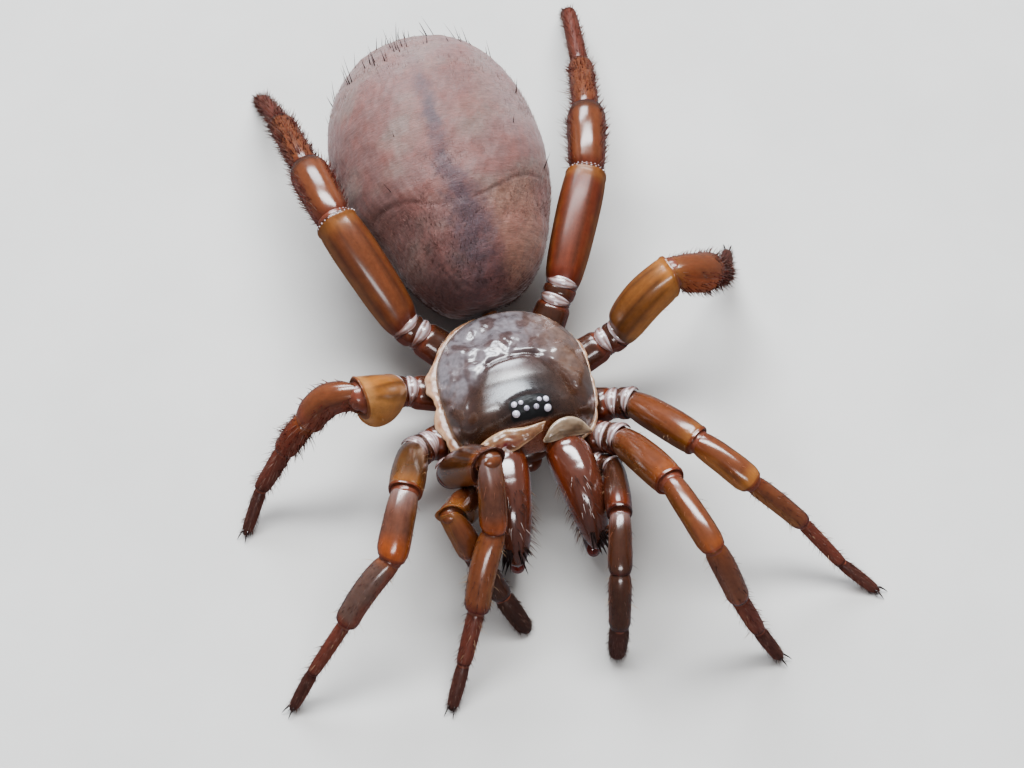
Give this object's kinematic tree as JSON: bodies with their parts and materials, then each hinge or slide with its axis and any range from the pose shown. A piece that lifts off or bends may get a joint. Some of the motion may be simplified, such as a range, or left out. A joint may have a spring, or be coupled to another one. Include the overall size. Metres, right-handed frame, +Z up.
{
  "type": "trapdoor spider",
  "caption": "Life-size still model of a female trapdoor spider: glossy carapace and jaws, bristly amber legs in a walking stance, large velvety egg-shaped abdomen, feet flat on the floor.",
  "frame": {"origin": "on the floor under the middle of the whole model, between the foot tips", "axes": "+Z up, the head points to -Y, the abdomen to +Y, the spider's left side is +X"},
  "size_m": [0.0384, 0.0518, 0.0126],
  "materials": {
    "carapace": "very glossy olive-brown cuticle with a paler see-through rim",
    "abdomen": "soft mauve-brown skin under a fine short pile",
    "underside": "satin red-brown cuticle",
    "chelicera": "very glossy dark mahogany cuticle",
    "fang": "polished near-black cuticle",
    "spinneret": "soft pale brown, finely haired",
    "eye": "wet black to pearly domes",
    "limb": "glossy amber to red-brown cuticle, darker and bristly towards the feet"
  },
  "bodies": {
    "root": {"carapace": "carapace", "abdomen": "abdomen", "underside": "underside", "pedicel": "underside", "chelicera_left": "chelicera", "chelicera_right": "chelicera", "fang_left": "fang", "fang_right": "fang", "spinneret_left": "spinneret", "spinneret_right": "spinneret", "eye_front_middle_left": "eye", "eye_front_middle_right": "eye", "eye_front_side_left": "eye", "eye_front_side_right": "eye", "eye_rear_middle_left": "eye", "eye_rear_middle_right": "eye", "eye_rear_side_left": "eye", "eye_rear_side_right": "eye", "leg_1_left_femur": "limb", "leg_1_left_patella": "limb", "leg_1_left_tibia": "limb", "leg_1_left_foot": "limb", "leg_1_right_femur": "limb", "leg_1_right_patella": "limb", "leg_1_right_tibia": "limb", "leg_1_right_foot": "limb", "leg_2_left_femur": "limb", "leg_2_left_patella": "limb", "leg_2_left_tibia": "limb", "leg_2_left_foot": "limb", "leg_2_right_femur": "limb", "leg_2_right_patella": "limb", "leg_2_right_tibia": "limb", "leg_2_right_foot": "limb", "leg_3_left_femur": "limb", "leg_3_left_patella": "limb", "leg_3_left_tibia": "limb", "leg_3_left_foot": "limb", "leg_3_right_femur": "limb", "leg_3_right_patella": "limb", "leg_3_right_tibia": "limb", "leg_3_right_foot": "limb", "leg_4_left_femur": "limb", "leg_4_left_patella": "limb", "leg_4_left_tibia": "limb", "leg_4_left_foot": "limb", "leg_4_right_femur": "limb", "leg_4_right_patella": "limb", "leg_4_right_tibia": "limb", "leg_4_right_foot": "limb", "palp_left_femur": "limb", "palp_left_patella": "limb", "palp_left_tibia": "limb", "palp_left_tarsus": "limb", "palp_right_femur": "limb", "palp_right_patella": "limb", "palp_right_tibia": "limb", "palp_right_tarsus": "limb"}
  },
  "joints": []
}
